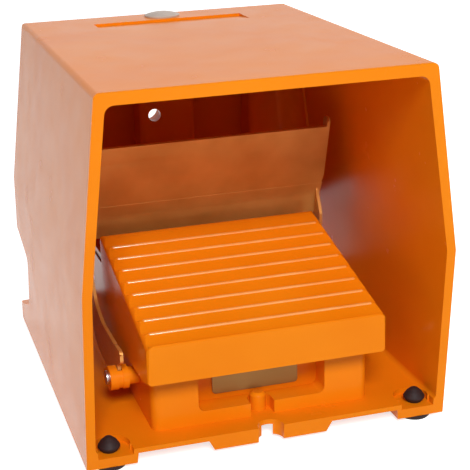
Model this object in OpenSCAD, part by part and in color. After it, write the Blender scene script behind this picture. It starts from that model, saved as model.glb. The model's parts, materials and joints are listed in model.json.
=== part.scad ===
// Industrial foot switch: a die-cast protective hood that houses a ribbed pedal, its switch body
// and a toe-operated safety flap. Millimetres. The origin is on the ground plane, under the centre
// of the hood's footprint: +X is the user's right, +Y the closed back of the hood, +Z is up.

/* [Hood] */
// Width over the side walls at the base
hood_w = 160; // [156:1:170]
// Depth from the front belly to the rear foot
hood_d = 190; // [186:1:200]
// Height of the roof above the ground
hood_h = 160; // [158:1:170]
// Thickness of the side and back walls
wall = 4; // [3:0.5:5]
// Thickness of the roof
roof = 5; // [4:0.5:6]
// Height of the horizontal crease where the walls start to lean inwards
crease_z = 81; // [76:1:86]
// How far each side wall leans in above the crease
side_lean = 9.6; // [6:0.2:12]
// Diameter of the hanging hole in the back wall
hang_hole_d = 6.4; // [6:0.2:7]

/* [Pedal] */
// Width of the pedal at its lower edge
pedal_w = 106; // [104:1:106]
// Length of the pedal, front face to rear edge
pedal_len = 88; // [86:1:90]
// Height of the front top edge above the ground
pedal_front_z = 52.7; // [52:0.5:54]
// Upward slope of the pedal at rest, in degrees
pedal_slope = 13.7; // [12.5:0.1:14.5]
// Spacing of the anti-slip ridges
ridge_pitch = 9.45; // [9:0.05:9.8]
// Depth of the grooves between the ridges
ridge_depth = 1.3; // [0.8:0.1:1.6]

/* [Safety flap] */
// Width of the flap plate
flap_w = 119.8; // [116:0.2:121]
// Thickness of the sheet steel
sheet = 1.5; // [1.2:0.1:1.7]
// Backward lean of the flap's lower edge from upright, in degrees
flap_lean = 17; // [14:1:20]
// Straight height of the flap plate
flap_plate = 34.3; // [32:0.1:36]
// Diameter of the flap's hinge pins
flap_pin_d = 4; // [3.5:0.1:4.5]

/* [Switch body] */
// Width of the switch body
body_w = 97.6; // [96:0.2:98]
// Diameter of the pedal's hinge pin
pedal_pin_d = 6; // [5:0.5:7]
// Bore of the two cable entries
entry_d = 18.4; // [16:0.1:19]

/* [Hidden] */
$fn = 64;

cut = 1;                         // overlap that carries a cut past a face
running = 0.05;                  // radial clearance of a turning or sliding fit

foot_drop = 2;                   // the rubber feet stand this far below the hood
floor_z = 9;                     // top of the hood's floor
floor_under = 6.7;               // underside of the hood's floor between its pads
plug_rise = 2.3;                 // the roof plug stands this far above the roof

// Hood outline in side view, from the front edge of the floor round to the rear foot.
belly_y = -hood_d / 2;
rear_y = hood_d / 2;
floor_front_y = belly_y + 9.5;
roof_front_y = belly_y + 1.5;
roof_rear_y = rear_y - 8.5;
crease_rear_y = rear_y - 2.5;
crease_half = hood_w / 2 - 1.2;
roof_half = crease_half - side_lean;
corner_r = 2.5;                  // outer round of the walls and the long roof edges

// Rib and corner pilasters inside the back wall.
rib_front_y = 71.5;
rib_half = 14.5;
pilaster_x = 44;
rib_foot_z = 62;

hang_hole_x = -7;
hang_hole_z = 110.5;
hang_relief_d = 12;              // wider bore behind the hanging hole

plug_y = 75;
plug_boss_r = 11;
plug_shank_r = 7;
label_half = 37;
label_depth = 1.2;

// Underside: tabs at the front edge, on both sides of a round-ended fixing notch.
notch_r = 5.6;
tab_rear_y = floor_front_y + 5.5;
tab_half = 25.1;
pad_x = 58.5;

// Feet
foot_x = 69;
foot_y = [-79, 82];
foot_hole_r = 3;
foot_disc_r = 7;
pocket_floor = 6.5;
pocket_x = foot_x - 1.5;
pocket_r = 7.5;

// Switch body
body_half = body_w / 2;
body_front_y = -74.5;
body_rear_y = 82.5;
nose_z = 34;                     // top of the low nose in front of the hinge
nose_y = -58;
front_z = 46;                    // top of the part below the pedal
step_y = 11;
rear_z = 53;                     // top of the wiring chamber
body_wall = 3.5;
gasket = 1;
cover = 2.5;
window_half = 28.5;
window_y = -64;
sill_z = 15;
slot_half = 5.3;
front_screws = [[-42, -52], [42, -52], [-42, -5], [42, -5]];
rear_screws = [[-42, 18], [42, 18], [-42, 75], [42, 75]];
base_screws = [[-40, -28], [40, -28], [-40, 50], [40, 50]];
cover_screw_r = 2;
cover_screw_len = 12;
cover_post_r = 4.6;
base_screw_r = 2.5;
base_hole_r = 2.75;
base_screw_len = 14;
base_post_r = 5.2;
chamber_z = floor_z + 4;         // floor of the room for contacts and wiring
ledge = 4.5;                     // depth and height of the sealing ledge before the step
entry_x = 24;
entry_z = 31;
entry_collar = 4;
plate_half = 19.5;               // half the width of the nameplate
plate_z = [17.5, 30.5];

// Pedal hinge
hinge = [-70, 41];               // Y and Z of the pedal's hinge axis
cheek = 3.5;
lug_r = 5.5;
pedal_half = pedal_w / 2;
pedal_wall = 3;
pedal_front_y = body_front_y - 11.5;
ridge_count = 8;

// Plungers and return springs
plunger_x = 20;
plunger_y = -37.5;
plunger_r = 3;
plunger_top = 57.75;
contact_len = 32;
contact_tower = 22;
contact_half = 11;
contact_step_z = 15;
terminal_at = [5.5, 13.5];
terminal_r = 1.5;
terminal_len = 6;
earth_y = 62;
pedal_spring_at = [27, -10];
pedal_spring_top = 64.5;

// Flap and its hinge
flap_hinge = [-47.2, 24.6];      // Y and Z of the flap's hinge axis
flap_half = flap_w / 2;
flap_low_half = 52.3;            // half width of the plate at its lower edge
flap_top = [-1.1, 114.3];        // Y and Z of the flap's top edge
flap_bend_r = 14;
flap_bend = 22;
flap_foot = 9.8;
lip_r = 2.5;
lip_len = 7;
arm_x = 56.3;                    // inner face of an arm
eye_r = 3.4;
ear_r = 5;
ear_front = 2;                   // the ears reach this far in front of a round about the axis
ear_gap = 0.25;                  // side clearance between an arm and an ear
inner_ear = 2.6;
outer_ear = 3.6;
neck_r = 3.5;
pin_seat_x = 50.5;               // blind end of the bore for a flap pin
flap_spring_at = [30, 21];

// ---------------------------------------------------------------- helpers

function unit(v) = v / norm(v);
function turned(v, a) = [v[0] * cos(a) - v[1] * sin(a), v[0] * sin(a) + v[1] * cos(a)];

// Points of the round that replaces corner b between its neighbours a and c.
function round_at(a, b, c, r, steps) =
    let (u = unit(a - b), v = unit(c - b), half = acos(u * v) / 2)
    let (middle = b + unit(u + v) * r / sin(half))
    let (p = b + u * r / tan(half) - middle)
    let (side = u[0] * v[1] - u[1] * v[0] > 0 ? -1 : 1)
    [for (i = [0 : steps]) middle + turned(p, side * (180 - 2 * half) * i / steps)];

// Outline with a round of its own radius at each corner; 0 leaves a corner sharp.
function rounded(points, radii, steps = 8) =
    let (n = len(points))
    [for (i = [0 : n - 1])
        each radii[i] > 0
            ? round_at(points[(i + n - 1) % n], points[i], points[(i + 1) % n], radii[i], steps)
            : [points[i]]];

// Extrudes a side-view outline (Y, Z) across X, centred on X = at.
module across(width, at = 0) {
    translate([at, 0, 0]) rotate([90, 0, 90]) linear_extrude(width, center = true) children();
}

// Extrudes a front-view outline (X, Z) along Y between two planes.
module along(from, to) {
    translate([0, to, 0]) rotate([90, 0, 0]) linear_extrude(to - from) children();
}

// Puts children in a frame whose Z axis runs from one point towards another.
module aimed(from, to) {
    d = unit(to - from);
    translate(from) rotate([-asin(d[1]), atan2(d[0], d[2]), 0]) children();
}

// A rod along X.
module rod_x(r, from, to) {
    translate([from, 0, 0]) rotate([0, 90, 0]) cylinder(r = r, h = to - from);
}

module both_sides() {
    children();
    mirror([1, 0, 0]) children();
}

module ring_of(points) {
    for (p = points) translate([p[0], p[1], 0]) children();
}

// Slotted pan-head screw standing on z = 0, its shank pointing down.
module slotted_screw(shank_r, shank_len, head_r, head_h) {
    slot_w = 1;
    side_h = head_h * 0.6;
    difference() {
        union() {
            translate([0, 0, -shank_len]) cylinder(r = shank_r, h = shank_len + cut / 2);
            cylinder(r = head_r, h = side_h);
            translate([0, 0, side_h]) cylinder(r1 = head_r, r2 = head_r * 0.8, h = head_h - side_h);
        }
        translate([-head_r - cut, -slot_w / 2, head_h / 2]) cube([2 * head_r + 2 * cut, slot_w, head_h]);
    }
}

// Round wire wound into a coil along Z, with its ends closed flat.
module coil(r, wire, height, turns) {
    sides = 8;
    per_turn = 20;
    rings = turns * per_turn;
    rise = height - wire;
    function level(t) = wire / 2 + rise * min(1, max(0, (t * turns - 0.75) / (turns - 1.5)));
    points = [for (i = [0 : rings]) let (a = 360 * i / per_turn) for (j = [0 : sides - 1])
        let (b = 360 * j / sides, reach = r + wire / 2 * cos(b))
        [reach * cos(a), reach * sin(a), level(i / rings) + wire / 2 * sin(b)]];
    skin = [for (i = [0 : rings - 1]) for (j = [0 : sides - 1]) let (k = (j + 1) % sides)
        [i * sides + j, i * sides + k, (i + 1) * sides + k, (i + 1) * sides + j]];
    caps = [[for (j = [0 : sides - 1]) sides - 1 - j], [for (j = [0 : sides - 1]) rings * sides + j]];
    polyhedron(points, concat(skin, caps));
}

// ---------------------------------------------------------------- hood

// Outer form: a side profile and a front profile cut each other, and the rear corners are rounded.
module hood_form() {
    side = rounded(
        [[floor_front_y, foot_drop], [rear_y, foot_drop], [crease_rear_y, crease_z],
         [roof_rear_y, hood_h], [roof_front_y, hood_h], [belly_y, crease_z]],
        [0, 0, 0, 2.5, 1, 0]);
    front = rounded(
        [[-hood_w / 2, foot_drop], [hood_w / 2, foot_drop], [crease_half, crease_z],
         [roof_half, hood_h], [-roof_half, hood_h], [-crease_half, crease_z]],
        [0, 0, 0, corner_r, corner_r, 0]);
    difference() {
        intersection() {
            across(hood_w + 2 * cut) polygon(side);
            along(belly_y - cut, rear_y + cut) polygon(front);
        }
        both_sides() {
            rear_corner_waste([hood_w / 2, rear_y, foot_drop], [crease_half, crease_rear_y, crease_z]);
            rear_corner_waste([crease_half, crease_rear_y, crease_z], [roof_half, roof_rear_y, hood_h]);
        }
    }
}

// What the round of a rear corner takes off, along the corner's own line.
module rear_corner_waste(from, to) {
    aimed(from, to) difference() {
        translate([-corner_r, -corner_r, -10]) cube([2 * corner_r, 2 * corner_r, norm(to - from) + 20]);
        translate([-corner_r, -corner_r, -11]) cylinder(r = corner_r, h = norm(to - from) + 22);
    }
}

// The room inside, open at the front.
module hood_room() {
    side = rounded(
        [[belly_y - 20, floor_z], [rear_y - wall, floor_z], [crease_rear_y - wall, crease_z],
         [roof_rear_y - wall, hood_h - roof], [belly_y - 20, hood_h - roof]],
        [0, 3, 0, 6, 0]);
    front = rounded(
        [[-hood_w / 2 + wall, floor_z], [hood_w / 2 - wall, floor_z], [crease_half - wall, crease_z],
         [roof_half - wall, hood_h - roof], [-roof_half + wall, hood_h - roof],
         [-crease_half + wall, crease_z]],
        [2.5, 2.5, 0, 4, 4, 0]);
    difference() {
        intersection() {
            across(hood_w) polygon(side);
            along(belly_y - 20, rear_y) polygon(front);
        }
        back_ribs();
        plug_boss();
    }
}

// Central rib and corner pilasters of the back wall, the corners blended into the side walls.
module back_ribs() {
    blend = 12;
    outer_x = crease_half;
    lower = [crease_half - wall, rib_front_y, rib_foot_z];
    upper = [roof_half - wall, rib_front_y, hood_h - roof];
    translate([0, 0, rib_foot_z]) linear_extrude(hood_h - rib_foot_z) {
        polygon(rounded([[-rib_half, rear_y], [-rib_half, rib_front_y], [rib_half, rib_front_y],
                         [rib_half, rear_y]], [0, 3, 3, 0]));
        for (side = [-1, 1]) scale([side, 1])
            polygon(rounded([[pilaster_x, rear_y], [pilaster_x, rib_front_y], [outer_x, rib_front_y],
                             [outer_x, rear_y]], [0, 3, 0, 0]));
    }
    both_sides() intersection() {
        aimed(lower, upper) difference() {
            translate([-blend, -blend, -20]) cube([blend + wall / 2, blend + cut, 200]);
            translate([-blend, -blend, -21]) cylinder(r = blend, h = 202);
        }
        translate([0, 0, rib_foot_z]) cube([hood_w, hood_d, hood_h - rib_foot_z]);
    }
}

module plug_boss() {
    depth = 16;
    translate([0, plug_y, hood_h - depth]) cylinder(r = plug_boss_r, h = depth);
}

// Opening for the cable across the back wall and both side walls; a lip stays along the floor.
module cable_gate() {
    across(hood_w + 10) polygon(rounded(
        [[rear_y + 5, 9.7], [82.5, 13], [62.5, 20], [57.5, 46], [69.5, 49], [rear_y + 5, 55.5]],
        [0, 20, 8, 5, 0, 0]));
}

// Underside: pads under the corners and two short tabs at the front stay full height.
module underside_cores() {
    low = foot_drop - cut;
    core_half = 56;
    core_rear_y = 88;
    side_core_x = [60, 76];
    side_core_y = [-58, 62];
    slope = 2.5;
    translate([0, 0, low]) linear_extrude(floor_under - low) {
        polygon(rounded([[-core_half, tab_rear_y], [core_half, tab_rear_y],
                         [core_half, core_rear_y], [-core_half, core_rear_y]], [1, 1, 4, 4]));
        for (side = [-1, 1]) scale([side, 1])
            polygon(rounded([[side_core_x[0], side_core_y[0]], [side_core_x[1], side_core_y[0]],
                             [side_core_x[1], side_core_y[1]], [side_core_x[0], side_core_y[1]]],
                            [3, 3, 3, 3]));
    }
    both_sides() along(floor_front_y - 15, side_core_y[0] - 2)
        polygon([[tab_half, low], [tab_half, foot_drop], [tab_half + slope, floor_under],
                 [pad_x - 0.5, floor_under], [pad_x, foot_drop], [pad_x, low]]);
}

module hood() {
    color("darkorange") difference() {
        hood_form();
        hood_room();
        cable_gate();
        underside_cores();
        label_recess();
        fixing_notch();
        both_sides() {
            foot_seat(foot_y[0]);
            foot_seat(foot_y[1]);
            foot_seat_mouth();
        }
        ring_of(base_screws) cylinder(r = base_hole_r, h = floor_z + cut);
        translate([hang_hole_x, 0, hang_hole_z]) rotate([-90, 0, 0]) {
            cylinder(d = hang_hole_d, h = hood_d);
            translate([0, 0, rib_front_y + wall]) cylinder(d = hang_relief_d, h = hood_d);
        }
        translate([0, plug_y, hood_h - 12]) cylinder(r = plug_shank_r, h = 20);
    }
}

// Round-ended notch in the front edge of the floor.
module fixing_notch() {
    translate([0, floor_front_y + 0.5, 0]) cylinder(r = notch_r, h = floor_z + cut);
    translate([-notch_r, floor_front_y - 12, 0]) cube([2 * notch_r, 12.5, floor_z + cut]);
}

// Hole and pocket for one push-in foot.
module foot_seat(y) {
    translate([foot_x, y, 0]) cylinder(r = foot_hole_r, h = floor_z);
    translate([pocket_x, y + 0.5, pocket_floor]) cylinder(r = pocket_r, h = floor_z);
}

// Opens a front foot's pocket through the front edge of the floor.
module foot_seat_mouth() {
    translate([pocket_x - pocket_r, floor_front_y - 12, pocket_floor]) cube([2 * pocket_r, 16, floor_z]);
}

// Shallow ramp in the roof, deepest at its rear step.
module label_recess() {
    rear = plug_y - plug_boss_r;
    front = 46;
    across(2 * label_half) polygon([[rear, hood_h + cut], [rear, hood_h - label_depth],
                                    [front, hood_h + 0.02], [front, hood_h + cut]]);
}

// Domed plug that closes the threaded hole in the roof.
module roof_plug() {
    head_r = 8.75;
    edge = 0.7;
    crown = plug_rise - edge;
    dome_r = (head_r * head_r + crown * crown) / (2 * crown);
    color("rosybrown") translate([0, plug_y, hood_h]) {
        cylinder(r = head_r, h = edge);
        intersection() {
            translate([0, 0, plug_rise - dome_r]) sphere(r = dome_r);
            cylinder(r = head_r, h = plug_rise + cut);
        }
        translate([0, 0, -8]) cylinder(r = plug_shank_r, h = 8);
    }
}

// Push-in rubber foot: a disc under the pad, a neck, and a barbed cone that holds it.
module foot(side, y) {
    barb = pocket_floor + 1.9;
    color("dimgray") translate([side * foot_x, y, 0]) rotate_extrude()
        polygon([[0, 0], [foot_disc_r - 0.6, 0], [foot_disc_r, 0.6], [foot_disc_r, foot_drop],
                 [foot_hole_r, foot_drop], [foot_hole_r, pocket_floor], [foot_hole_r + 0.3, pocket_floor],
                 [4.7, barb], [4.7, barb + 0.7], [3.4, barb + 2.7], [1.6, barb + 4.3], [0, barb + 4.9]]);
}

// ---------------------------------------------------------------- switch body

module body_form() {
    side = rounded(
        [[body_front_y, floor_z], [body_rear_y, floor_z], [body_rear_y, rear_z], [step_y, rear_z],
         [step_y, front_z], [nose_y, front_z], [nose_y, nose_z], [body_front_y, nose_z]],
        [0, 0, 0, 0, 0, 0, 0, 1.5]);
    plan = rounded(
        [[-body_half, body_front_y], [body_half, body_front_y],
         [body_half, body_rear_y], [-body_half, body_rear_y]],
        [4, 4, 6, 6]);
    collar_wall = 3.8;
    intersection() {
        across(body_w + cut) polygon(side);
        linear_extrude(rear_z + cut) polygon(plan);
    }
    for (x = [-entry_x, entry_x]) translate([x, body_rear_y - cut, entry_z])
        rotate([-90, 0, 0]) cylinder(r = entry_d / 2 + collar_wall, h = entry_collar + cut);
}

// Cheeks that carry the ends of the pedal's hinge pin.
module hinge_cheeks() {
    both_sides() across(cheek, body_half - cheek / 2) difference() {
        union() {
            translate(hinge) circle(r = lug_r);
            polygon([[hinge[0] - lug_r + 1, nose_z - cut], [hinge[0] - lug_r, hinge[1]],
                     [hinge[0] + 3, hinge[1] + lug_r - 0.8], [nose_y + cut, front_z],
                     [nose_y + cut, nose_z - cut]]);
        }
        translate(hinge) circle(d = pedal_pin_d);
    }
}

// Side view of an ear: a round about the flap's axis, drawn out to the front.
module ear_outline(r) {
    translate(flap_hinge) circle(r = r);
    translate(flap_hinge - [ear_front, 0]) circle(r = r);
    translate(flap_hinge - [ear_front, r]) square([ear_front, 2 * r]);
}

// Clevis on each side of the body for the flap's hinge; a web in front joins its two ears.
module flap_lugs() {
    slot_in = arm_x - ear_gap;
    slot_out = arm_x + sheet + ear_gap;
    web_y = flap_hinge[0] - eye_r - 0.4;
    both_sides() difference() {
        union() {
            across(slot_in - body_half, (slot_in + body_half) / 2) ear_outline(neck_r);
            across(inner_ear, slot_in - inner_ear / 2) ear_outline(ear_r);
            across(outer_ear, slot_out + outer_ear / 2) ear_outline(ear_r);
            across(slot_out - slot_in + cut, (slot_in + slot_out) / 2) intersection() {
                ear_outline(ear_r - 0.5);
                translate([web_y - 2 * ear_r, flap_hinge[1] - ear_r]) square(2 * ear_r);
            }
        }
        translate([0, flap_hinge[0], flap_hinge[1]]) rod_x(flap_pin_d / 2, pin_seat_x, flap_half + 5);
    }
}

// One room for contacts and wiring; at the step a bar with a ledge carries the edges of both covers.
module body_chamber() {
    inner = body_half - body_wall;
    front = nose_y + body_wall;
    bar_front = step_y - ledge;
    bar_rear = step_y + body_wall;
    rear = body_rear_y - body_wall;
    post_h = 16;
    difference() {
        translate([-inner, front, chamber_z]) {
            cube([2 * inner, rear - front, front_z - ledge - chamber_z]);
            cube([2 * inner, bar_front - front, rear_z]);
            translate([0, bar_rear - front, 0]) cube([2 * inner, rear - bar_rear, rear_z]);
        }
        translate([0, 0, floor_z]) {
            ring_of(concat(front_screws, rear_screws)) cylinder(r = cover_post_r, h = rear_z);
            ring_of(base_screws) cylinder(r = base_post_r, h = post_h);
        }
    }
}

module switch_body() {
    color("darkorange") difference() {
        union() {
            difference() {
                body_form();
                body_chamber();
            }
            hinge_cheeks();
            flap_lugs();
            body_boss();
        }
        difference() {
            nameplate_window();
            body_boss();
        }
        difference() {
            fixing_slot();
            body_boss();
        }
        for (p = front_screws) translate([p[0], p[1], front_z - cover_screw_len])
            cylinder(r = cover_screw_r, h = cover_screw_len + cut);
        for (p = rear_screws) translate([p[0], p[1], rear_z - cover_screw_len])
            cylinder(r = cover_screw_r, h = cover_screw_len + cut);
        ring_of(base_screws) translate([0, 0, floor_z - cut])
            cylinder(r = base_screw_r, h = base_screw_len - cut);
        for (x = [-entry_x, entry_x]) translate([x, body_rear_y - 10, entry_z])
            rotate([-90, 0, 0]) cylinder(d = entry_d, h = 20);
    }
}

// Recess in the nose that frames the nameplate.
module nameplate_window() {
    top = nose_z - 2.5;
    along(body_front_y - cut, window_y)
        polygon(rounded([[-window_half, sill_z], [window_half, sill_z],
                         [window_half, top], [-window_half, top]], [3, 3, 1.5, 1.5]));
}

// Slot in the foot of the nose, over the notch in the hood's floor.
module fixing_slot() {
    slot_h = 8;
    translate([0, body_front_y + 4.5, floor_z - cut]) cylinder(r = slot_half, h = slot_h);
    translate([-slot_half, body_front_y - cut, floor_z - cut]) cube([2 * slot_half, 5.5, slot_h]);
}

// Short column at the inner end of the fixing slot.
module body_boss() {
    column_r = 3.6;
    column_h = 7;
    translate([0, body_front_y + 6.9, floor_z]) {
        cylinder(r = column_r, h = column_h);
        translate([0, 0, column_h]) cylinder(r1 = column_r, r2 = column_r - 1.2, h = 1.2);
    }
}

module nameplate() {
    color("darkkhaki") along(window_y - 0.8, window_y)
        polygon(rounded([[-plate_half, plate_z[0]], [plate_half, plate_z[0]],
                         [plate_half, plate_z[1]], [-plate_half, plate_z[1]]], [1.5, 1.5, 1.5, 1.5]));
}

// ---------------------------------------------------------------- covers

seat_in = 0.6;                   // the covers stand this far inside the body's edges

function cover_plan(from, to) = rounded(
    [[-body_half + seat_in, from], [body_half - seat_in, from],
     [body_half - seat_in, to], [-body_half + seat_in, to]],
    [3, 3, 3, 3]);

module gasket_sheet(from, to, z, screws) {
    rim = 5;
    translate([0, 0, z]) linear_extrude(gasket) difference() {
        polygon(cover_plan(from, to));
        difference() {
            translate([-body_half + rim, from + rim - 1]) square([body_w - 2 * rim, to - from - 2 * rim + 2]);
            for (p = screws) translate(p) circle(r = cover_post_r);
        }
        for (p = screws) translate(p) circle(r = cover_screw_r);
    }
}

module front_gasket() {
    color("black") gasket_sheet(nose_y + seat_in, step_y - seat_in, front_z, front_screws);
}

module rear_gasket() {
    color("black") gasket_sheet(step_y + seat_in, body_rear_y - seat_in, rear_z, rear_screws);
}

module screw_holes(screws, z) {
    for (p = screws) translate([p[0], p[1], z - cut]) cylinder(r = cover_screw_r, h = cover + 2 * cut);
}

// Cover over the contacts, with the plungers' guides and the pedal springs' seats.
module front_cover() {
    z = front_z + gasket;
    guide = 5;
    guide_wall = 2;
    seat_r = 3.6;
    seat_h = 2;
    color("darkorange") difference() {
        union() {
            translate([0, 0, z]) linear_extrude(cover)
                polygon(cover_plan(nose_y + seat_in, step_y - seat_in));
            for (x = [-plunger_x, plunger_x]) translate([x, plunger_y, z - guide])
                cylinder(r = plunger_r + guide_wall, h = guide + cover);
            for (x = [-1, 1]) translate([x * pedal_spring_at[0], pedal_spring_at[1], z])
                cylinder(r = seat_r, h = cover + seat_h);
        }
        screw_holes(front_screws, z);
        for (x = [-plunger_x, plunger_x]) translate([x, plunger_y, z - guide - cut])
            cylinder(r = plunger_r + running, h = guide + cover + 2 * cut);
    }
}

// Cover over the wiring room, with the flap springs' seats.
module rear_cover() {
    z = rear_z + gasket;
    seat_r = 2.4;
    seat_h = 1.5;
    color("darkorange") difference() {
        union() {
            translate([0, 0, z]) linear_extrude(cover)
                polygon(cover_plan(step_y + seat_in, body_rear_y - seat_in));
            for (x = [-1, 1]) translate([x * flap_spring_at[0], flap_spring_at[1], z])
                cylinder(r = seat_r, h = cover + seat_h);
        }
        screw_holes(rear_screws, z);
    }
}

module cover_screw(place, z) {
    color("silver") translate([place[0], place[1], z + gasket + cover])
        slotted_screw(cover_screw_r, cover_screw_len, 3.6, 2.4);
}

// Screws that hold the body on the floor, driven from below.
module base_screw(place) {
    color("silver") translate([place[0], place[1], floor_under]) mirror([0, 0, 1])
        slotted_screw(base_screw_r, base_screw_len, 4.4, 3);
}

// ---------------------------------------------------------------- contacts

module at_contact(side, z) {
    translate([side * plunger_x, plunger_y, z]) children();
}

module at_terminals() {
    for (y = [-terminal_at[1], terminal_at[1]]) for (x = [-terminal_at[0], terminal_at[0]])
        translate([x, y, 0]) children();
}

module contact_block(side) {
    tower_h = 25;
    color("whitesmoke") at_contact(side, chamber_z) difference() {
        union() {
            translate([-contact_half, -contact_tower / 2, 0])
                cube([2 * contact_half, contact_tower, tower_h]);
            translate([-contact_half, -contact_len / 2, 0])
                cube([2 * contact_half, contact_len, contact_step_z]);
        }
        translate([0, 0, contact_step_z - 1]) cylinder(r = plunger_r + 0.4, h = tower_h);
        at_terminals() translate([0, 0, contact_step_z - terminal_len])
            cylinder(r = terminal_r, h = terminal_len + cut);
    }
}

module terminals(side) {
    color("goldenrod") at_contact(side, chamber_z + contact_step_z) at_terminals()
        slotted_screw(terminal_r, terminal_len, 2.2, 1.8);
}

module plunger(side) {
    foot_z = 33;
    crown_z = plunger_top - plunger_r;
    color("crimson") at_contact(side, 0) {
        translate([0, 0, foot_z]) cylinder(r = plunger_r, h = crown_z - foot_z);
        translate([0, 0, crown_z]) intersection() {
            sphere(r = plunger_r);
            cylinder(r = plunger_r, h = plunger_r);
        }
    }
}

module earth_screw() {
    color("goldenrod") translate([0, earth_y, chamber_z]) {
        cylinder(r = 4, h = 1);
        translate([0, 0, 1]) cylinder(r = 3, h = 2.5);
    }
}

// Slotted blanking plug in the right-hand cable entry.
module entry_plug() {
    flange_r = entry_d / 2 + 2.6;
    flange_h = 2.2;
    chamfer = 0.8;
    seat = [entry_x, body_rear_y + entry_collar, entry_z];
    color("dimgray") translate(seat) rotate([-90, 0, 0]) difference() {
        union() {
            cylinder(r = flange_r, h = flange_h);
            translate([0, 0, flange_h]) cylinder(r1 = flange_r, r2 = flange_r - chamfer, h = chamfer);
            translate([0, 0, -6.5]) cylinder(d = entry_d, h = 7);
        }
        translate([-7, -1.25, flange_h - 1]) cube([14, 2.5, 4]);
    }
}

// ---------------------------------------------------------------- pedal

slope_dir = [cos(pedal_slope), sin(pedal_slope)];
slope_out = [-sin(pedal_slope), cos(pedal_slope)];
tread_start = [pedal_front_y, pedal_front_z];
tread_len = pedal_len / cos(pedal_slope);

function on_tread(u, drop = 0) = tread_start + slope_dir * u - slope_out * drop;

// One groove: it falls steeply behind its ridge and rises gently to the next.
function groove(from, pitch, steps = 8) =
    [for (i = [1 : steps]) let (t = i / steps) on_tread(from + pitch * t * t, ridge_depth * sin(180 * t))];

// The tread in side view, from the front edge to the rear edge.
function tread_points() =
    let (pitch = ridge_pitch / cos(pedal_slope))
    let (last = pitch * ridge_count)
    concat(
        [on_tread(0, 1.1), on_tread(0.25, 0.35), on_tread(1, 0)],
        [for (k = [0 : ridge_count - 1]) each groove(k == 0 ? 1 : pitch * k, k == 0 ? pitch - 1 : pitch)],
        groove(last, tread_len - last - 3.6),
        [on_tread(tread_len - 2, 0.35), on_tread(tread_len - 0.6, 1.5), on_tread(tread_len + 0.35, 3.6)]);

function skirt_points() = [[1, 26.3], [-4.5, 27], [-39.5, 31.6], [-79.5, 34], [-84.9, 35.3]];

module pedal_shell() {
    rear = pedal_front_y + pedal_len;
    side_x = pedal_half - 0.6;
    past = 12;
    edge_r = 3.2;
    under_r = 4;
    plan = rounded(
        [[-pedal_half, pedal_front_y - 1], [pedal_half, pedal_front_y - 1],
         [pedal_half, rear + 1], [-pedal_half, rear + 1]], [5, 5, 3, 3]);
    intersection() {
        across(pedal_w + cut) polygon(concat(tread_points(), skirt_points()));
        linear_extrude(100) polygon(plan);
        along(pedal_front_y - 5, rear + 5) polygon(
            [[-pedal_half, 20], [pedal_half, 20], [pedal_half, 34], [pedal_half - 0.7, 56],
             [pedal_half - 0.8, 90], [-pedal_half + 0.8, 90], [-pedal_half + 0.7, 56], [-pedal_half, 34]]);
        round_edged_bar([side_x, pedal_front_y - past, pedal_front_z - past * tan(pedal_slope)],
                        [side_x, rear + past, pedal_front_z + (pedal_len + past) * tan(pedal_slope)],
                        edge_r, -1);
        round_edged_bar([pedal_half, pedal_front_y - past, 39.5], [pedal_half, rear + past, -1],
                        under_r, 1);
    }
}

// Bar as wide as the pedal, between two points of its right edge, with that edge and the left one
// rounded: its top edges where up is -1, its bottom edges where up is 1.
module round_edged_bar(from, to, r, up) {
    d = unit(to - from);
    length = norm(to - from);
    translate([0, from[1], from[2]]) rotate([asin(d[2]), 0, 0]) rotate([90, 0, 0])
        translate([0, 0, -length]) linear_extrude(length)
            polygon(rounded([[-from[0], up * 90], [from[0], up * 90], [from[0], 0], [-from[0], 0]],
                            [0, 0, r, r]));
}

module pedal_room() {
    skin = pedal_wall + ridge_depth + 0.3;
    front = pedal_front_y + pedal_wall;
    rear = pedal_front_y + pedal_len - 2.8;
    side_x = body_half + 1.1;
    function below(y) = pedal_front_z + (y - pedal_front_y) * tan(pedal_slope) - skin;
    intersection() {
        across(pedal_w) polygon(rounded(
            [[front, 10], [rear, 10], [rear, below(rear)], [front, below(front)]], [0, 0, 2, 2]));
        linear_extrude(90) polygon(rounded(
            [[-side_x, front], [side_x, front], [side_x, rear], [-side_x, rear]], [2, 2, 1.5, 1.5]));
    }
    translate([-side_x, rear - 2, 10]) cube([2 * side_x, 10, 54]);
}

// Inner lugs that hang on the hinge pin, just inside the body's cheeks.
module pedal_lugs() {
    outer = body_half - cheek - 0.5;
    both_sides() across(5, outer - 2.5) union() {
        translate(hinge) circle(r = lug_r);
        polygon([[hinge[0] - lug_r, hinge[1]], [hinge[0] + lug_r, hinge[1]],
                 [hinge[0] + lug_r, hinge[1] + 14], [hinge[0] - lug_r, hinge[1] + 12]]);
    }
}

module pedal() {
    color("orange") difference() {
        union() {
            difference() {
                pedal_shell();
                pedal_room();
            }
            pedal_lugs();
            for (x = [-plunger_x, plunger_x]) translate([x, plunger_y, plunger_top + 0.25])
                cylinder(r = 2 * plunger_r, h = 3);
            for (x = [-1, 1]) translate([x * pedal_spring_at[0], pedal_spring_at[1], pedal_spring_top])
                cylinder(r = 8, h = 3);
            pedal_webs();
        }
        translate([0, hinge[0], hinge[1]]) rod_x(pedal_pin_d / 2 + running, -pedal_half + 5, pedal_half - 5);
    }
}

// Stiffening webs below the tread.
module pedal_webs() {
    web = 2.2;
    web_x = 12;
    from = 8;
    to = tread_len - 4;
    top = pedal_wall;
    bottom = 7.6;
    for (x = [-web_x, web_x]) across(web, x)
        polygon([on_tread(from, top), on_tread(to, top), on_tread(to, bottom), on_tread(from, bottom)]);
}

module pedal_pin() {
    end = body_half - 0.3;
    color("silver") translate([0, hinge[0], hinge[1]]) rod_x(pedal_pin_d / 2, -end, end);
}

module pedal_spring(side) {
    seat = front_z + gasket + cover;
    color("gray") translate([side * pedal_spring_at[0], pedal_spring_at[1], seat])
        coil(5, 1.3, pedal_spring_top - seat, 5);
}

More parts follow.
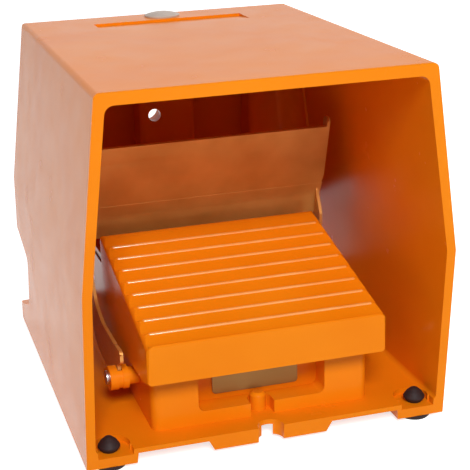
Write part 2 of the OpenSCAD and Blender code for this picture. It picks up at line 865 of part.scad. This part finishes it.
// ---------------------------------------------------------------- safety flap

flap_down = [sin(flap_lean), -cos(flap_lean)];

function back_of(dir) = [-dir[1], dir[0]];

// Point of the flap's side view, u below its top edge and w behind its front face.
function on_flap(u, w) = flap_top + flap_down * u + back_of(flap_down) * w;

// Points of a bend that starts in direction dir and turns to the back by a, shifted back by d.
function bend(start, dir, r, a, d, steps) =
    [for (i = [0 : steps]) start + back_of(dir) * r - turned(back_of(dir), a * i / steps) * (r - d)];

foot_dir = turned(flap_down, flap_bend);
foot_start = bend(on_flap(flap_plate, 0), flap_down, flap_bend_r, flap_bend, 0, 1)[1];
lip_turn = atan2(-foot_dir[1], foot_dir[0]);
lip_start = bend(foot_start + foot_dir * flap_foot, foot_dir, lip_r, lip_turn, 0, 1)[1];

// One face of the folded plate in side view, shifted back by d: plate, foot and level lip.
function flap_line(d) = concat(
    [on_flap(0, d)],
    bend(on_flap(flap_plate, 0), flap_down, flap_bend_r, flap_bend, d, 6),
    bend(foot_start + foot_dir * flap_foot, foot_dir, lip_r, lip_turn, d, 5),
    [lip_start + [lip_len, d]]);

function reversed(list) = [for (i = [len(list) - 1 : -1 : 0]) list[i]];

// The plate narrows towards its foot, in front view.
module flap_plate_form() {
    narrow_z = [72.5, 86];
    intersection() {
        across(flap_w) polygon(concat(flap_line(0), reversed(flap_line(sheet))));
        along(-hood_d / 2, hood_d / 2) polygon(rounded(
            [[-flap_half, hood_h], [-flap_half, narrow_z[1]], [-flap_low_half, narrow_z[0]],
             [-flap_low_half, 0], [flap_low_half, 0], [flap_low_half, narrow_z[0]],
             [flap_half, narrow_z[1]], [flap_half, hood_h]],
            [0, 16, 6, 0, 0, 6, 16, 0]));
    }
}

// Ear at a top corner, bent back and standing above the plate.
module flap_corner() {
    across(sheet, flap_half - sheet / 2)
        polygon(rounded([on_flap(14, 0), on_flap(-4, 0), on_flap(-4, 5), on_flap(8, 5)], [0, 1.5, 2.5, 3]));
}

// Arm that joins the plate to its hinge; it passes outside the pedal's skirt.
module flap_arm() {
    hinge_low = flap_hinge - [0, eye_r];
    outline = rounded(
        [hinge_low, [-30, 19.5], [-4, 21.5], [12, 35], [22, 62], [20, 78], on_flap(20, 8), on_flap(20, 1),
         on_flap(flap_plate - 1, 0.5), [3, 70], [5, 56], [-6, 42.5], [-20, 38.7], [-46, 38.9],
         [-57, 40], [-57, 34.5], [-50.5, 31.5], flap_hinge - [eye_r, 0]],
        [0, 14, 20, 16, 10, 6, 3, 0, 3, 4, 10, 12, 20, 20, 2, 2, 2, 0], 5);
    across(sheet, arm_x + sheet / 2) difference() {
        union() {
            polygon(outline);
            translate(flap_hinge) circle(r = eye_r);
        }
        translate(flap_hinge) circle(r = flap_pin_d / 2 + running);
    }
}

module safety_flap() {
    color("peru") {
        flap_plate_form();
        both_sides() {
            flap_arm();
            flap_corner();
        }
    }
}

// Pin with a low head, pressed through the outer ear into the inner one.
module flap_pin(side) {
    outer = arm_x + sheet + ear_gap + outer_ear;
    color("silver") translate([0, flap_hinge[0], flap_hinge[1]]) scale([side, 1, 1]) {
        rod_x(flap_pin_d / 2, pin_seat_x + 0.3, outer + cut / 2);
        rod_x(flap_pin_d / 2 + 1.2, outer, outer + 1);
    }
}

module flap_spring(side) {
    seat = rear_z + gasket + cover;
    color("gray") translate([side * flap_spring_at[0], flap_spring_at[1], seat])
        coil(3.4, 1, lip_start[1] - running - seat, 4);
}

// ---------------------------------------------------------------- nodes

hood();
roof_plug();
foot(-1, foot_y[0]);  // foot_front_left
foot(1, foot_y[0]);  // foot_front_right
foot(-1, foot_y[1]);  // foot_rear_left
foot(1, foot_y[1]);  // foot_rear_right
switch_body();
nameplate();
front_gasket();
front_cover();
rear_gasket();
rear_cover();
cover_screw(front_screws[0], front_z);  // front_cover_screw_1
cover_screw(front_screws[1], front_z);  // front_cover_screw_2
cover_screw(front_screws[2], front_z);  // front_cover_screw_3
cover_screw(front_screws[3], front_z);  // front_cover_screw_4
cover_screw(rear_screws[0], rear_z);  // rear_cover_screw_1
cover_screw(rear_screws[1], rear_z);  // rear_cover_screw_2
cover_screw(rear_screws[2], rear_z);  // rear_cover_screw_3
cover_screw(rear_screws[3], rear_z);  // rear_cover_screw_4
base_screw(base_screws[0]);  // base_screw_1
base_screw(base_screws[1]);  // base_screw_2
base_screw(base_screws[2]);  // base_screw_3
base_screw(base_screws[3]);  // base_screw_4
contact_block(-1);  // contact_block_left
contact_block(1);  // contact_block_right
terminals(-1);  // terminals_left
terminals(1);  // terminals_right
plunger(-1);  // plunger_left
plunger(1);  // plunger_right
earth_screw();
entry_plug();
pedal();
pedal_pin();
pedal_spring(-1);  // pedal_spring_left
pedal_spring(1);  // pedal_spring_right
safety_flap();
flap_pin(-1);  // flap_pin_left
flap_pin(1);  // flap_pin_right
flap_spring(-1);  // flap_spring_left
flap_spring(1);  // flap_spring_right
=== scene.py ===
"""Looks of an industrial foot switch: finishes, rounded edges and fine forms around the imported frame."""
import json
import math

import bpy
import bmesh
from mathutils import Matrix, Vector


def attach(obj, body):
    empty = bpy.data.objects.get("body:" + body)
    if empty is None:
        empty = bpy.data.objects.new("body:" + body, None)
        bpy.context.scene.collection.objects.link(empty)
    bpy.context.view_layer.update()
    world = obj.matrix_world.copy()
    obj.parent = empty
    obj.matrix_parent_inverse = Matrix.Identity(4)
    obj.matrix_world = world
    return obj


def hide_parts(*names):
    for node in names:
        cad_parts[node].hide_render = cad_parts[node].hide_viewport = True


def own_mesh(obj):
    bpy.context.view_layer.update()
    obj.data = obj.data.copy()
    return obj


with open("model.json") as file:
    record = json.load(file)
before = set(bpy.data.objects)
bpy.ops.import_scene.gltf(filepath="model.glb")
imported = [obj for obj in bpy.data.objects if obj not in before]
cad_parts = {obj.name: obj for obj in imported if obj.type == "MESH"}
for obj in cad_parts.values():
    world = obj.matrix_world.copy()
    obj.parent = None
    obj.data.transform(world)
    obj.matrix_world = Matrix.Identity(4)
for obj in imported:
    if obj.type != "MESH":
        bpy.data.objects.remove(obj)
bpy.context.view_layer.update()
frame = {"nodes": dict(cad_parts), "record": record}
NODES = frame["nodes"]
MM = 0.001


# ---------------------------------------------------------------- camera

def make_camera():
    """A long lens left of the middle and a little above the hood, rolled slightly."""
    place = Vector((-0.15365, -0.541526, 0.256839))
    azimuth, elevation, roll = -0.267676, 0.335967, -0.035194
    forward = Vector((-math.sin(azimuth) * math.cos(elevation),
                      math.cos(azimuth) * math.cos(elevation), -math.sin(elevation)))
    level = Vector((math.cos(azimuth), math.sin(azimuth), 0))
    upright = level.cross(forward)
    right = level * math.cos(roll) + upright * math.sin(roll)
    up = upright * math.cos(roll) - level * math.sin(roll)
    data = bpy.data.cameras.new("camera")
    data.sensor_width = 36
    data.lens = 96.57
    data.shift_x = 0.0745
    data.shift_y = 0.0319
    camera = bpy.data.objects.new("camera", data)
    camera.matrix_world = Matrix((
        (right.x, up.x, -forward.x, place.x),
        (right.y, up.y, -forward.y, place.y),
        (right.z, up.z, -forward.z, place.z),
        (0, 0, 0, 1)))
    bpy.context.scene.collection.objects.link(camera)
    bpy.context.scene.camera = camera


make_camera()
bpy.context.scene.view_settings.view_transform = "Standard"


# ---------------------------------------------------------------- materials

def rays_that_see(tree):
    """1 for rays from the camera and for those in a reflection or through glass, 0 for the light's own."""
    path = tree.nodes.new("ShaderNodeLightPath")
    value = path.outputs["Is Camera Ray"]
    for ray in ("Is Glossy Ray", "Is Transmission Ray"):
        both = tree.nodes.new("ShaderNodeMath")
        both.operation = "MAXIMUM"
        tree.links.new(value, both.inputs[0])
        tree.links.new(path.outputs[ray], both.inputs[1])
        value = both.outputs[0]
    return value


class Finish:
    """A node material under construction: a principled shader with short helpers."""

    def __init__(self, name, colour, roughness, metallic=0.0):
        self.material = bpy.data.materials.new(name)
        self.material.use_nodes = True
        self.tree = self.material.node_tree
        self.shader = self.tree.nodes["Principled BSDF"]
        self.coords = self.tree.nodes.new("ShaderNodeTexCoord").outputs["Object"]
        self.set(**{"Base Color": (*colour, 1), "Roughness": roughness, "Metallic": metallic})

    def set(self, **values):
        for socket, value in values.items():
            self.shader.inputs[socket].default_value = value
        return self

    def node(self, kind, inputs=(), **settings):
        made = self.tree.nodes.new(kind)
        for key, value in settings.items():
            setattr(made, key, value)
        for socket, value in dict(inputs).items():
            if hasattr(value, "is_linked"):
                self.tree.links.new(value, made.inputs[socket])
            else:
                made.inputs[socket].default_value = value
        return made

    def link(self, output, socket):
        self.tree.links.new(output, self.shader.inputs[socket])
        return self

    def noise(self, scale, detail=2.0, stretch=(1, 1, 1)):
        """Noise with a number of cells to the metre, drawn out along the axes whose stretch is small."""
        place = self.node("ShaderNodeMapping", {"Vector": self.coords, "Scale": stretch})
        made = self.node("ShaderNodeTexNoise",
                         {"Vector": place.outputs["Vector"], "Scale": scale, "Detail": detail})
        return made.outputs["Fac"]

    def drift(self, scale, dark, light, detail=2.0):
        """Lets the base colour wander between two colours."""
        made = self.node("ShaderNodeValToRGB", {"Fac": self.noise(scale, detail)})
        first, last = made.color_ramp.elements
        first.position, last.position = 0.3, 0.7
        first.color, last.color = (*dark, 1), (*light, 1)
        return self.link(made.outputs["Color"], "Base Color")

    def range(self, value, low, high):
        """Maps the middle half of a 0-1 value to low-high."""
        made = self.node("ShaderNodeMapRange", {"Value": value, "From Min": 0.25, "From Max": 0.75,
                                                "To Min": low, "To Max": high})
        return made.outputs["Result"]

    def seen_by_eye(self, value):
        """The value for the camera and in reflections, and nothing for the light's own rays."""
        made = self.node("ShaderNodeMath", {0: rays_that_see(self.tree), 1: value}, operation="MULTIPLY")
        return made.outputs[0]

    def bump(self, height, depth, strength=1.0, below=None):
        """Bumps of a depth in metres, over an earlier bump if one is given."""
        inputs = {"Height": height, "Distance": depth, "Strength": strength}
        if below is not None:
            inputs["Normal"] = below
        return self.node("ShaderNodeBump", inputs).outputs["Normal"]


def gloss_orange():
    """Gloss powder coat on a casting: slow colour drift and a fine orange peel."""
    made = Finish("gloss_orange", (0.88, 0.238, 0.004), 0.24)
    made.set(**{"IOR": 1.4, "Specular IOR Level": 0.13})
    made.drift(26, (0.87, 0.225, 0.003), (0.90, 0.25, 0.005))
    made.link(made.range(made.noise(70, 3), 0.2, 0.28), "Roughness")
    peel = made.bump(made.noise(420, 1.5), 0.00002, 0.3)
    made.link(made.bump(made.noise(60, 1), 0.0001, 0.12, peel), "Normal")
    return made.material


def painted_highlight_orange():
    """The same paint, paler and glossier: the paler colour is a painted highlight along each ridge crest.
    """
    made = Finish("painted_highlight_orange", (0.95, 0.36, 0.06), 0.2)
    made.set(**{"IOR": 1.6, "Specular IOR Level": 0.8})
    made.drift(90, (0.93, 0.31, 0.04), (0.97, 0.42, 0.10), 3)
    made.link(made.range(made.noise(300, 2), 0.16, 0.26), "Roughness")
    return made.material


def yellow_zinc():
    """Yellow-passivated sheet steel: golden brown with drifting hue and fine rolling lines."""
    made = Finish("yellow_zinc", (0.70, 0.32, 0.08), 0.38, 0.45)
    made.drift(35, (0.58, 0.26, 0.05), (0.76, 0.38, 0.09), 3)
    lines = made.noise(900, 2, (0.04, 1, 1))
    made.link(made.range(lines, 0.32, 0.5), "Roughness")
    made.link(made.bump(lines, 0.00002, 0.3), "Normal")
    return made.material


def zinc_steel():
    made = Finish("zinc_steel", (0.55, 0.56, 0.58), 0.3, 1.0)
    made.link(made.range(made.noise(500, 3), 0.24, 0.42), "Roughness")
    made.link(made.bump(made.noise(900, 2), 0.00001, 0.3), "Normal")
    return made.material


def spring_steel():
    made = Finish("spring_steel", (0.34, 0.34, 0.36), 0.34, 1.0)
    made.link(made.range(made.noise(1500, 2), 0.28, 0.45), "Roughness")
    return made.material


def rubber():
    made = Finish("black_rubber", (0.028, 0.015, 0.015), 0.6).set(**{"Specular IOR Level": 0.2})
    made.link(made.range(made.noise(400, 3), 0.5, 0.72), "Roughness")
    made.link(made.bump(made.noise(1400, 2), 0.00003, 0.5), "Normal")
    return made.material


def plug_grey():
    made = Finish("plug_grey", (0.55, 0.44, 0.38), 0.45)
    made.drift(200, (0.50, 0.40, 0.34), (0.60, 0.49, 0.42), 3)
    made.link(made.bump(made.noise(700, 2), 0.00003, 0.4), "Normal")
    return made.material


def bare_plate():
    made = Finish("bare_plate", (0.30, 0.16, 0.04), 0.4, 0.6)
    made.link(made.range(made.noise(800, 2, (0.05, 1, 1)), 0.32, 0.5), "Roughness")
    return made.material


def plastic(name, colour, roughness):
    made = Finish(name, colour, roughness)
    made.link(made.range(made.noise(500, 2), roughness - 0.07, roughness + 0.08), "Roughness")
    made.link(made.bump(made.noise(1500, 2), 0.00002, 0.4), "Normal")
    return made.material


def brass():
    made = Finish("brass", (0.62, 0.42, 0.15), 0.28, 1.0)
    made.link(made.range(made.noise(700, 2), 0.22, 0.4), "Roughness")
    return made.material


FINISHES = {
    "orange_paint": gloss_orange(),
    # paler paint for the ridge crests, a painted highlight
    "painted_highlight_paint": painted_highlight_orange(),
    "yellow_zinc_steel": yellow_zinc(),
    "black_rubber": rubber(),
    "grey_plastic": plug_grey(),
    "bare_plate": bare_plate(),
    "white_plastic": plastic("white_plastic", (0.62, 0.62, 0.58), 0.5),
    "brass": brass(),
    "red_plastic": plastic("red_plastic", (0.42, 0.02, 0.015), 0.35),
    "black_plastic": plastic("black_plastic", (0.03, 0.03, 0.03), 0.45),
    "spring_steel": spring_steel(),
    "zinc_steel": zinc_steel(),
}


# ---------------------------------------------------------------- CAD nodes

# Width of the rounded edges by the node's name; the rest take EDGE.
EDGE = 0.25 * MM
EDGES = {"hood": 0.8 * MM, "switch_body": 0.6 * MM, "pedal": 0.6 * MM,
         "front_cover": 0.5 * MM, "rear_cover": 0.5 * MM,
         "safety_flap": 0.2 * MM, "nameplate": 0.15 * MM}
EDGE_ANGLE = math.radians(28)
WELD = 0.005 * MM


def round_edges(node, width):
    """Welds the mesh's seams, rounds its sharp edges and keeps the flat faces flat, all in modifiers."""
    weld = node.modifiers.new("weld", "WELD")
    weld.merge_threshold = WELD
    bevel = node.modifiers.new("round", "BEVEL")
    bevel.width = width
    bevel.segments = 2
    bevel.limit_method = "ANGLE"
    bevel.angle_limit = EDGE_ANGLE
    bevel.harden_normals = False
    bevel.use_clamp_overlap = True
    bevel.miter_outer = "MITER_ARC"
    normals = node.modifiers.new("flat", "WEIGHTED_NORMAL")
    normals.keep_sharp = False
    normals.weight = 50


def dress_nodes():
    slots = {part["node"]: part["material_slot"] for part in frame["record"]["subparts"]}
    for name, node in NODES.items():
        node.data.materials.clear()
        node.data.materials.append(FINISHES[slots[name]])
        for face in node.data.polygons:
            face.use_smooth = True
        if "spring" not in name:
            round_edges(node, EDGES.get(name, EDGE))


dress_nodes()


# ---------------------------------------------------------------- fine forms

PEDAL_SLOPE = math.radians(13.7)
TREAD_START = (-86 * MM, 52.7 * MM)                # Y and Z of the tread's front edge
RIDGE_STEP = 9.45 * MM / math.cos(PEDAL_SLOPE)     # along the tread
RIDGES = 8
BEAD_R = 1.0 * MM
BEAD_PROUD = 0.35 * MM
BEAD_HALF = 49.5 * MM
BEAD_SIDES = 16
BEAD_CAP = 4                                       # rings in each domed end
BEAD_TIP = 0.02 * BEAD_R                           # radius of the outermost ring

FLAP_LEAN = math.radians(17)
FLAP_TOP = (-1.1 * MM, 114.3 * MM)                 # Y and Z of the plate's top edge
BAND_FROM, BAND_TO = 31 * MM, 47.5 * MM            # below the top edge, along the plate
BAND_BEND_AT = 36 * MM
BAND_BEND = math.radians(-8)
BAND_ROWS = (33 * MM, BAND_BEND_AT, 38 * MM, 40.5 * MM)    # keep the bend's shading short
BAND_HALF = (59.6 * MM, 57.5 * MM)                 # half widths at its upper and lower edges
BAND_CORNER = 3.5 * MM
BAND_SHEET = 0.9 * MM
BAND_PROUD = 0.06 * MM
BAND_EDGE = 0.2 * MM


def mesh_of(form, name):
    """Turns a finished bmesh into a mesh with its faces looking outwards."""
    bmesh.ops.recalc_face_normals(form, faces=form.faces)
    mesh = bpy.data.meshes.new(name)
    form.to_mesh(mesh)
    form.free()
    return mesh


def add_piece(name, mesh, material, body):
    """Links a finished mesh as a piece of the object that rides on a body."""
    piece = bpy.data.objects.new(name, mesh)
    bpy.context.scene.collection.objects.link(piece)
    mesh.materials.append(FINISHES[material])
    for face in mesh.polygons:
        face.use_smooth = True
    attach(piece, body)
    return piece


def on_tread(along, drop):
    """Y and Z of a point along the tread and below its crests."""
    return (TREAD_START[0] + along * math.cos(PEDAL_SLOPE) + drop * math.sin(PEDAL_SLOPE),
            TREAD_START[1] + along * math.sin(PEDAL_SLOPE) - drop * math.cos(PEDAL_SLOPE))


def add_bead(form, centre):
    """A round bar along X with domed ends, about a line at centre's Y and Z."""
    straight = BEAD_HALF - BEAD_R
    angles = [math.pi / 2 * i / BEAD_CAP for i in range(BEAD_CAP)]
    cap = [(straight + BEAD_R * math.cos(a), max(BEAD_R * math.sin(a), BEAD_TIP)) for a in angles]
    stations = [(-x, r) for x, r in cap] + [(-straight, BEAD_R), (straight, BEAD_R)] + cap[::-1]
    turns = [2 * math.pi * i / BEAD_SIDES for i in range(BEAD_SIDES)]
    rings = [[form.verts.new((x, centre[0] + r * math.cos(t), centre[1] + r * math.sin(t))) for t in turns]
             for x, r in stations]
    for one, two in zip(rings, rings[1:]):
        for i in range(BEAD_SIDES):
            j = (i + 1) % BEAD_SIDES
            form.faces.new((one[i], one[j], two[j], two[i]))
    form.faces.new(rings[0][::-1])
    form.faces.new(rings[-1])


def ridge_beads():
    """The rounded crest of each ridge of the pedal, in a paler paint that paints a highlight along it."""
    form = bmesh.new()
    for k in range(1, RIDGES + 1):
        add_bead(form, on_tread(RIDGE_STEP * k, BEAD_R - BEAD_PROUD))
    add_piece("ridge_beads", mesh_of(form, "ridge_beads"), "painted_highlight_paint", "pedal")


def on_band(side, along, back):
    """Point of the band: side is -1 or 1, along runs down the plate, back is behind its front face."""
    straight = min(along, BAND_BEND_AT)
    past = along - straight
    back -= BAND_PROUD
    y = straight * math.sin(FLAP_LEAN) + past * math.sin(FLAP_LEAN + BAND_BEND) + back * math.cos(FLAP_LEAN)
    z = straight * math.cos(FLAP_LEAN) + past * math.cos(FLAP_LEAN + BAND_BEND) - back * math.sin(FLAP_LEAN)
    share = (along - BAND_FROM) / (BAND_TO - BAND_FROM)
    half = BAND_HALF[0] + (BAND_HALF[1] - BAND_HALF[0]) * share
    in_corner = max(0.0, along - (BAND_TO - BAND_CORNER))
    half -= BAND_CORNER - math.sqrt(max(0.0, BAND_CORNER ** 2 - in_corner ** 2))
    return (side * half, FLAP_TOP[0] + y, FLAP_TOP[1] - z)


def flap_band():
    """The lower band of the flap's plate, in front of the folded foot, with rounded lower corners."""
    corner_steps = 5
    turns = [math.pi / 2 * i / corner_steps for i in range(corner_steps + 1)]
    rows = [BAND_FROM, *BAND_ROWS]
    rows += [BAND_TO - BAND_CORNER * (1 - math.sin(turn)) for turn in turns]
    form = bmesh.new()
    front, back = ([[form.verts.new(on_band(side, along, depth)) for side in (-1, 1)] for along in rows]
                   for depth in (0, BAND_SHEET))
    for i in range(len(rows) - 1):
        form.faces.new((front[i][0], front[i][1], front[i + 1][1], front[i + 1][0]))
        form.faces.new((back[i][1], back[i][0], back[i + 1][0], back[i + 1][1]))
        for side in (0, 1):
            form.faces.new((front[i][side], front[i + 1][side], back[i + 1][side], back[i][side]))
    form.faces.new((front[0][0], back[0][0], back[0][1], front[0][1]))
    form.faces.new((front[-1][0], front[-1][1], back[-1][1], back[-1][0]))
    mesh = mesh_of(form, "flap_band")
    piece = add_piece("flap_band", mesh, "yellow_zinc_steel", "flap")
    round_edges(piece, BAND_EDGE)


def squeezed_springs():
    """Copies of the coil springs, riding on the base, in place of the spring nodes, which are hidden."""
    for joint_name, kind in (("pedal_hinge", "pedal_spring"), ("flap_hinge", "flap_spring")):
        for side in ("left", "right"):
            node = f"{kind}_{side}"
            mesh = NODES[node].data.copy()
            mesh.materials.clear()
            piece = add_piece(f"{node}_coil", mesh, "spring_steel", "base")
            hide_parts(node)
            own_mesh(piece)


ridge_beads()
flap_band()
squeezed_springs()


# ---------------------------------------------------------------- stage and light

WORLD_FILL = 0.17                # strength of the world's light on the object
FLOOR_HALF = 6.0                 # metres, so that its edges stay out of sight
FLOOR_GLOW = 0.72                # lifts the lit floor to white for the eye, and leaves its shadow
LIT_POINT = (0, 0, 0.08)         # near the middle of the object


def make_floor():
    mesh = bpy.data.meshes.new("floor")
    corners = [(x * FLOOR_HALF, y * FLOOR_HALF, 0) for x, y in ((-1, -1), (1, -1), (1, 1), (-1, 1))]
    mesh.from_pydata(corners, [], [(0, 1, 2, 3)])
    floor = bpy.data.objects.new("floor", mesh)
    bpy.context.scene.collection.objects.link(floor)
    made = Finish("white_floor", (0.9, 0.9, 0.9), 0.8)
    made.drift(40, (0.89, 0.89, 0.89), (0.91, 0.91, 0.91), 3)
    made.set(**{"Specular IOR Level": 0.0, "Emission Color": (1, 1, 1, 1)})
    made.link(made.seen_by_eye(FLOOR_GLOW), "Emission Strength")
    mesh.materials.append(made.material)


def make_world():
    """Plain white to the camera and in reflections, and a dim fill on the object."""
    world = bpy.data.worlds.new("studio")
    bpy.context.scene.world = world
    world.use_nodes = True
    tree = world.node_tree
    back = tree.nodes["Background"]
    back.inputs["Color"].default_value = (1, 1, 1, 1)
    seen = rays_that_see(tree)
    strength = tree.nodes.new("ShaderNodeMapRange")
    strength.inputs["To Min"].default_value = WORLD_FILL
    strength.inputs["To Max"].default_value = 1.0
    tree.links.new(seen, strength.inputs["Value"])
    tree.links.new(strength.outputs["Result"], back.inputs["Strength"])


def soft_lamp(name, place, size, power):
    """A square area lamp that faces the object."""
    data = bpy.data.lights.new(name, "AREA")
    data.shape = "SQUARE"
    data.size = size
    data.energy = power
    lamp = bpy.data.objects.new(name, data)
    lamp.location = place
    lamp.rotation_mode = "QUATERNION"
    lamp.rotation_quaternion = (Vector(LIT_POINT) - Vector(place)).to_track_quat("-Z", "Y")
    bpy.context.scene.collection.objects.link(lamp)


make_floor()
make_world()
soft_lamp("key", (-0.25, -1.35, 1.15), 0.5, 22.5)
soft_lamp("rear", (1.5, 1.0, 0.9), 0.6, 17)
